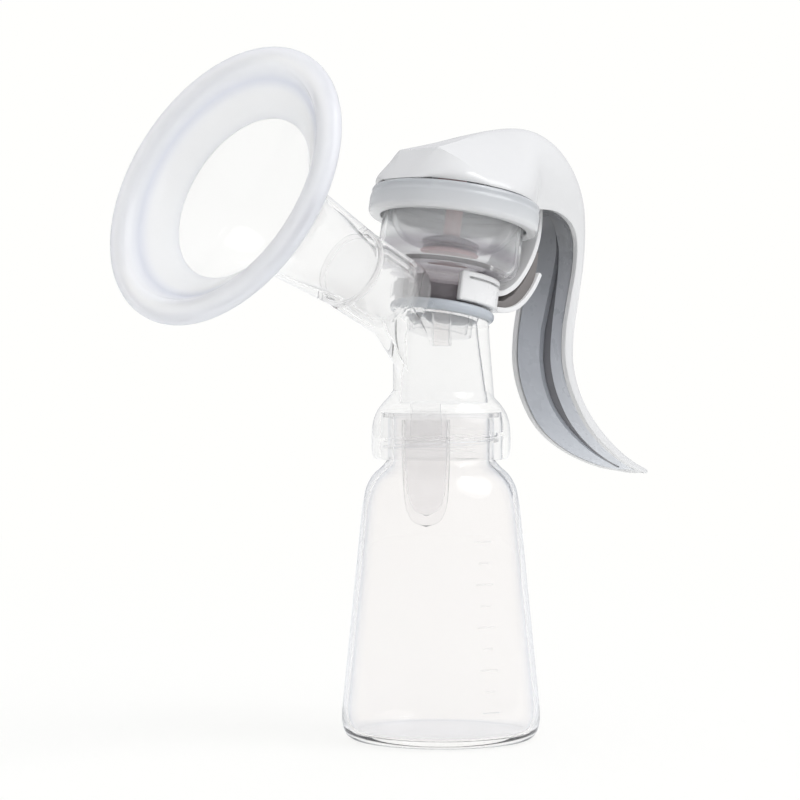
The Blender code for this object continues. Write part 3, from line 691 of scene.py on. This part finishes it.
def make_diaphragm():
    """The membrane, turned from one profile between the rim and the stem."""
    upper = [(0.0241, 0.0343), (0.0202, 0.0343), (0.0186, 0.0332), (0.0178, 0.0290),
             (0.0170, 0.0262), (0.0152, 0.0236), (0.0122, 0.0216), (0.0095, 0.0209),
             (0.0032, 0.0209)]
    lower = [(0.0032, 0.0195), (0.0097, 0.0195), (0.0128, 0.0203), (0.0162, 0.0225),
             (0.0182, 0.0254), (0.0191, 0.0286), (0.0195, 0.0323), (0.0241, 0.0323)]
    profile = rounded(lower[::-1] + upper[::-1], 0.002, 4, True)
    skin = turned("diaphragm_skin", profile, CUP_FRAME, 96)
    finish(skin, "silicone", "head", ["diaphragm"])
    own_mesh(skin)


# ---------------------------------------------------------------- hinge bracket
def make_bracket():
    """The open ring round the cup's foot, its two ribs with a dark plate of painted shade between,
    and the knuckle.
    """
    inner, outer, low, high = HUB_R + 0.0004, 0.0165, 0.0029, 0.0118
    section = [(outer, high), (outer, low), (inner, low), (inner, high)]
    bracket = turned("bracket_body", section, CUP_FRAME, 96)
    mouth = plate("mouth", [(0, 0), (-0.06, 0.108), (-0.12, 0.108), (-0.12, -0.108),
                            (-0.06, -0.108)], 0, 0.020)
    mouth.matrix_world = CUP_FRAME @ Matrix.Rotation(math.pi / 2, 4, "X")
    cut(bracket, mouth)
    bevel(bracket, 0.0011, 4, 50)
    slit = []
    slit_in, slit_out = outer - 0.0016, outer + 0.0010
    slit_low, slit_high = high - 0.0024, high - 0.0016
    for k in range(25):
        turn = math.radians(-111 + 3.2 * k)
        slit.append([CUP_FRAME @ Vector((r * math.cos(turn), r * math.sin(turn), z))
                     for r, z in ((slit_in, slit_low), (slit_out, slit_low),
                                  (slit_out, slit_high), (slit_in, slit_high))])
    notch = rod_between("notch", 0.0019, (0.0108, -0.0069, 0.1358), (0.0160, -0.0102, 0.1358), 3)
    cut(bracket, loft("slit", slit, closed_rings=True, caps=True), notch)
    half = 0.0085
    upper_line = [(0.0158, 0.1334), (0.0200, 0.1338), (0.0250, 0.1361), (0.0295, 0.1403),
                  (0.0334, 0.1455), (0.0360, 0.1510), (0.0370, 0.1570), (0.0371, 0.1650)]
    lower_line = [(0.0158, 0.1288), (0.0205, 0.1284), (0.0255, 0.1294), (0.0300, 0.1322),
                  (0.0340, 0.1362), (0.0368, 0.1406)]
    shade_plate_outline = [(0.0172, 0.1304), (0.0205, 0.1300), (0.0255, 0.1310), (0.0300, 0.1338),
           (0.0335, 0.1376), (0.0352, 0.1420), (0.0363, 0.1480), (0.0345, 0.1466),
           (0.0328, 0.1430), (0.0292, 0.1384), (0.0247, 0.1343), (0.0200, 0.1322),
           (0.0172, 0.1322)]
    upper = rounded(thicken(rounded(upper_line, 0.003, 3), 0.0018), 0.0009, 4, True)
    lower = rounded(thicken(rounded(lower_line, 0.003, 3), 0.0016), 0.0009, 4, True)
    for name, outline in (("upper_plate", upper), ("lower_plate", lower)):
        join(bracket, bevel(plate(name, outline, -half, half), 0.0004, 2, 50))
    join(bracket, cross_rod("knuckle", 0.0038, half - 0.0003, HINGE))
    hub_clearance = rod("hub_clearance", inner, 0.0000, 0.0126, CUP_FRAME, 96)
    cut(bracket, hub_clearance, cross_rod("pin_bore", 0.0017, 0.012, HINGE))
    finish(bracket, "bracket", "head", ["hinge_bracket"])
    # A dark plate between the ribs, painted shade in the recess.
    painted_recess_shade = bevel(plate("bracket_painted_shade", shade_plate_outline, 0.0010 - half, half - 0.0010), 0.0003, 2, 50)
    finish(painted_recess_shade, "painted_recess_shade", "head")


# ---------------------------------------------------------------- squeeze handle
DOME_R = 0.0246
DOME_HEIGHT = 0.0364
SHELL_WALL = 0.0016
THIN_TOP = 0.00005
CREASES_END_X = 0.008
# angle round the cup of the section's lip, and the back line's x and z
DOME_SPINE = [(22, -0.0176, 0.1683), (66, -0.0098, 0.1774), (86, 0.0015, 0.1799),
              (106, 0.0130, 0.1828), (124, 0.0245, 0.1852), (139, 0.0350, 0.1859)]
# back line's x and z, lip's x and z, and half width of the section
GRIP_SPINE = [((0.0450, 0.1830), (0.0350, 0.1600), 0.0150),
              ((0.0530, 0.1765), (0.0425, 0.1580), 0.0136),
              ((0.0578, 0.1680), (0.0475, 0.1545), 0.0124),
              ((0.0592, 0.1580), (0.0495, 0.1495), 0.0117),
              ((0.0586, 0.1450), (0.0492, 0.1420), 0.0113),
              ((0.0565, 0.1330), (0.0470, 0.1325), 0.0110),
              ((0.0543, 0.1220), (0.0448, 0.1220), 0.0110),
              ((0.0538, 0.1130), (0.0450, 0.1120), 0.0112),
              ((0.0568, 0.1035), (0.0490, 0.1020), 0.0116),
              ((0.0635, 0.0955), (0.0565, 0.0925), 0.0118),
              ((0.0735, 0.0880), (0.0680, 0.0850), 0.0108),
              ((0.0850, 0.0825), (0.0812, 0.0798), 0.0078),
              ((0.0955, 0.0790), (0.0940, 0.0773), 0.0036)]


def between(a, b, c, d, t):
    """The Catmull-Rom value between b and c."""
    return 0.5 * (2 * b + (c - a) * t + (2 * a - 5 * b + 4 * c - d) * t * t
                  + (3 * b - a - 3 * c + d) * t ** 3)


def spread(rows, steps):
    """Rows of numbers with more rows put in between, on smooth curves through them."""
    padded = [[2 * p - q for p, q in zip(rows[0], rows[1])], *rows,
              [2 * p - q for p, q in zip(rows[-1], rows[-2])]]
    result = []
    for a, b, c, d in zip(padded, padded[1:], padded[2:], padded[3:]):
        for k in range(steps):
            result.append([between(*values, k / steps) for values in zip(a, b, c, d)])
    result.append(list(rows[-1]))
    return result


def rim_lip(turn):
    """The x, z and half width of the dome's lip, at an angle round the cup."""
    lip = CUP_FRAME @ Vector((-DOME_R * math.cos(turn), 0, DOME_HEIGHT))
    return [lip.x, lip.z, DOME_R * math.sin(turn)]


def handle_rows():
    """Many sections along the handle: back x and z, lip x and z, half width, flat, slope.

    The dome's top is flat over twice the width "flat", and its sides start at "slope".
    """
    rows = []
    for angle, back_x, back_z in DOME_SPINE:
        flat = max(0.0, 0.0078 * (0.0260 - back_x) / 0.0358)
        slope = 0.72 * min(1.0, max(0.0, (0.0300 - back_x) / 0.0250))
        rows.append([back_x, back_z, *rim_lip(math.radians(angle)), flat, slope])
    rows += [[*back, *lip, width, 0, 0] for back, lip, width in GRIP_SPINE]
    rows[0][5:] = [0.0030, 0.05]
    front = []
    steps = 12
    first, second = DOME_SPINE[0][0], DOME_SPINE[1][0]
    for k in range(steps):
        t = k / steps
        row = [p + (q - p) * t for p, q in zip(rows[0], rows[1])]
        row[2:5] = rim_lip(math.radians(first + (second - first) * t))
        front.append(row)
    rest = spread(rows[1:], 8)
    smooth_from, passes = 13, 30
    for _ in range(passes):
        for before, row, after in zip(rest[smooth_from - 1:-3], rest[smooth_from:],
                                      rest[smooth_from + 1:]):
            row[4] = (before[4] + 2 * row[4] + after[4]) / 4
    return front + rest


def arch(row, count=22):
    """The section's points from one lip over the top to the other."""
    back_x, back_z, lip_x, lip_z, width, flat, slope = row
    side = []
    for k in range(count + 1):
        t = k / count
        s = math.sin(math.pi / 2 * t)
        across = flat + (width - flat) * s ** 0.90
        down = slope * s + (1 - slope) * (1 - math.cos(math.pi / 2 * t) ** 0.85)
        if k == count:
            down = 1.0
        side.append((back_x + (lip_x - back_x) * down, across, back_z + (lip_z - back_z) * down))
    top_x, top_y, top_z = side[0]
    top_y = max(top_y, THIN_TOP)
    side[0] = (top_x, top_y, top_z)
    middle = [(top_x, top_y * share, top_z) for share in (-0.5, 0.0, 0.5)]
    return [(x, -y, z) for x, y, z in side[::-1]] + middle + side


def make_shell():
    """The dome and the lever in one skin, with creases only on the dome's front."""
    shell = loft("handle_skin", [arch(row) for row in handle_rows()])
    wall = shell.modifiers.new("wall", "SOLIDIFY")
    wall.thickness = SHELL_WALL
    wall.offset = 1.0
    wall.use_even_offset = True
    bake(shell)
    bevel(shell, 0.0005, 2, 60)
    finish(shell, "white", "handle", ["handle_shell"], 15)
    creases = shell.data.attributes["sharp_edge"].data
    for edge, crease in zip(shell.data.edges, creases):
        middle = sum((shell.data.vertices[i].co for i in edge.vertices), Vector()) / 2
        if middle.x > CREASES_END_X:
            crease.value = False


def liner_section(row, share):
    """One section of the lining and of the dark strip in its groove, a strip of painted shade, or
    None where it has none.
    """
    back_x, back_z, lip_x, lip_z, width = row
    length = math.hypot(lip_x - back_x, lip_z - back_z)
    half = max(0.0012, width - SHELL_WALL - 0.0005)
    floor = SHELL_WALL + 0.0006
    room = length - floor - 0.0016
    valley = min(0.0046, max(0.0003, 0.62 * room))
    opening = max(0.0, min(1.0, (share - 0.16) / 0.30)) * min(1.0, (1.04 - share) / 0.35)
    groove = min(0.0023 * opening, 0.45 * half)
    depth = min(0.0021, 0.35 * room) * min(1.0, 2.2 * opening)
    reach = (lip_x - back_x) / length, (lip_z - back_z) / length

    def at(across, down):
        return (back_x + reach[0] * down, across, back_z + reach[1] * down)

    def surface(across):
        u = abs(across) / half
        return length - 0.0004 - valley * (1 - u) ** 0.8

    bed = surface(groove) - depth
    flanks = [groove + (half - groove) * (k / 10) ** 1.1 for k in range(11)]
    top = [at(-y, surface(y)) for y in flanks[::-1]]
    top += [at(u * groove, bed) for u in (-0.92, -0.3, 0.3, 0.92)]
    top += [at(y, surface(y)) for y in flanks]
    bottom = [at(half * u, floor + (length - floor) * 0.7 * abs(u) ** 2.2)
              for u in (0.96, 0.75, 0.5, 0.25, 0.0, -0.25, -0.5, -0.75, -0.96)]
    if groove <= 0.0004:
        return top + bottom, None
    return top + bottom, [at(u * groove, bed + rise) for u, rise in (
        (-0.90, 0.00005), (-0.84, 0.0003), (0.84, 0.0003), (0.90, 0.00005))]


def make_liner():
    """The grey lining of the handle's channel, with a dark strip of painted shade laid in the
    groove along its middle.
    """
    rows = spread([[*back, *lip, width] for back, lip, width in GRIP_SPINE[1:]], 6)[:-3]
    sections = [liner_section(row, i / (len(rows) - 1)) for i, row in enumerate(rows)]
    liner = loft("grip_lining", [ring for ring, _ in sections], closed_rings=True, caps=True)
    finish(liner, "grip", "handle", ["handle_liner"], 35)
    # The dark strip in the groove is painted shade.
    groove_shade_strips = [strip for _, strip in sections if strip]
    strip = loft("grip_painted_groove_shade", groove_shade_strips, closed_rings=True, caps=True)
    finish(strip, "painted_groove_shade", "handle")


# ---------------------------------------------------------------- carried-over solids
def dress_nodes():
    """Looks and softened edges for the solids that are shown as they are."""
    looks = {"bottle_seal": "silicone", "pull_stem": "stem", "clamp_disc": "bracket",
             "stem_pin": "bracket", "hinge_pin": "bracket", "lever_yoke": "yoke"}
    for node, look in looks.items():
        obj = frame["nodes"][node]
        obj.data.materials.clear()
        obj.data.materials.append(LOOKS[look])
        soften_edges(obj, 0.0003, 2, 50)


# ---------------------------------------------------------------- studio
PAPER = (1.0, 1.0, 0.985, 1)


def make_world():
    """A pale sky, dimmer low down, that the camera sees as plain paper, also through glass."""
    world = bpy.data.worlds.new("studio_world")
    bpy.context.scene.world = world
    world.use_nodes = True
    tree = world.node_tree
    tree.nodes.clear()
    coords = tree.nodes.new("ShaderNodeTexCoord")
    split = tree.nodes.new("ShaderNodeSeparateXYZ")
    ramp = tree.nodes.new("ShaderNodeValToRGB")
    stops = [(0.0, 0.52), (0.46, 0.48), (0.58, 0.62), (0.80, 0.84), (1.0, 0.92)]
    fill_ramp(ramp, [(place, (value * 0.985, value * 0.99, value * 1.02))
                     for place, value in stops])
    span = tree.nodes.new("ShaderNodeMapRange")
    span.inputs["From Min"].default_value = -1
    tree.links.new(coords.outputs["Generated"], split.inputs[0])
    tree.links.new(split.outputs["Z"], span.inputs["Value"])
    tree.links.new(span.outputs["Result"], ramp.inputs["Fac"])
    path = tree.nodes.new("ShaderNodeLightPath")
    seen = tree.nodes.new("ShaderNodeMath")
    seen.operation = "MAXIMUM"
    tree.links.new(path.outputs["Is Camera Ray"], seen.inputs[0])
    tree.links.new(path.outputs["Is Transmission Ray"], seen.inputs[1])
    mix = tree.nodes.new("ShaderNodeMix")
    mix.data_type = "RGBA"
    sky, paper = [socket for socket in mix.inputs if socket.type == "RGBA"]
    result = [socket for socket in mix.outputs if socket.type == "RGBA"][0]
    paper.default_value = PAPER
    tree.links.new(seen.outputs[0], mix.inputs["Factor"])
    tree.links.new(ramp.outputs["Color"], sky)
    background = tree.nodes.new("ShaderNodeBackground")
    output = tree.nodes.new("ShaderNodeOutputWorld")
    tree.links.new(result, background.inputs["Color"])
    tree.links.new(background.outputs[0], output.inputs["Surface"])


def make_floor():
    """A matt floor that takes shadows near the object and reads as paper further off."""
    look = Shader("floor_look", (0.90, 0.905, 0.89), 0.7)
    look.vary_colour(scale=3, amount=0.01)
    path = look.node("ShaderNodeLightPath")
    seen = look.node("ShaderNodeMath", operation="MAXIMUM")
    paper = look.node("ShaderNodeEmission", Color=PAPER, Strength=1.0)
    coords = look.node("ShaderNodeTexCoord")
    distance = look.node("ShaderNodeVectorMath", operation="LENGTH")
    glow = look.node("ShaderNodeMapRange")
    for socket, value in (("From Min", 0.10), ("From Max", 1.00), ("To Min", 0.80)):
        glow.inputs[socket].default_value = value
    part = look.node("ShaderNodeMath", operation="MULTIPLY")
    blend = look.node("ShaderNodeMixShader")
    look.link(coords.outputs["Object"], distance.inputs[0])
    look.link(distance.outputs["Value"], glow.inputs["Value"])
    look.link(path.outputs["Is Camera Ray"], seen.inputs[0])
    look.link(path.outputs["Is Transmission Ray"], seen.inputs[1])
    look.link(seen.outputs[0], part.inputs[0])
    look.link(glow.outputs["Result"], part.inputs[1])
    look.link(part.outputs[0], blend.inputs["Fac"])
    look.link(look.bsdf.outputs[0], blend.inputs[1])
    look.link(paper.outputs[0], blend.inputs[2])
    look.link(blend.outputs[0], look.tree.nodes["Material Output"].inputs["Surface"])
    bm = bmesh.new()
    bmesh.ops.create_circle(bm, cap_ends=True, segments=96, radius=12.0)
    floor = mesh_object("floor", bm)
    floor.location.z = -0.0002
    floor.data.materials.append(look.material)


def make_lights():
    """One very soft sun and two small windows that give the plastic its highlights."""
    scene = bpy.context.scene
    sun = bpy.data.lights.new("key", "SUN")
    sun.energy = 1.25
    sun.angle = math.radians(50)
    key = bpy.data.objects.new("key", sun)
    key.rotation_euler = Vector((0.35, -0.75, 0.80)).to_track_quat("Z", "Y").to_euler()
    scene.collection.objects.link(key)
    aim = Vector((0, 0, 0.13))
    for name, place, size, energy in (("side_window", (-0.55, -0.15, 0.55), 0.10, 0.12),
                                      ("top_window", (0.20, -0.35, 0.80), 0.12, 0.50)):
        light = bpy.data.lights.new(name, "AREA")
        light.shape = "RECTANGLE"
        light.size = size
        light.size_y = size * 1.6
        light.energy = energy
        lamp = bpy.data.objects.new(name, light)
        lamp.location = place
        lamp.rotation_euler = (Vector(place) - aim).to_track_quat("Z", "Y").to_euler()
        scene.collection.objects.link(lamp)


def make_camera():
    scene = bpy.context.scene
    camera = bpy.data.cameras.new("camera")
    camera.sensor_width = 36
    camera.lens = 121.3
    camera.clip_start = 0.05
    view = bpy.data.objects.new("camera", camera)
    view.location = (-0.5922, -0.5586, 0.1113)
    view.rotation_euler = (math.radians(89.35), 0, math.radians(-45.8))
    scene.collection.objects.link(view)
    scene.camera = view


def make_studio():
    scene = bpy.context.scene
    scene.view_settings.view_transform = "Standard"
    scene.view_settings.look = "None"
    make_world()
    make_floor()
    make_lights()
    make_camera()
    scene.cycles.max_bounces = 24
    scene.cycles.transmission_bounces = 24
    scene.cycles.glossy_bounces = 6
    scene.cycles.diffuse_bounces = 4


LOOKS = make_materials()
make_studio()
make_bottle()
make_marks()
make_pump_body()
make_valve()
make_shield()
make_cushion()
make_cup()
make_diaphragm()
make_bracket()
make_shell()
make_liner()
dress_nodes()
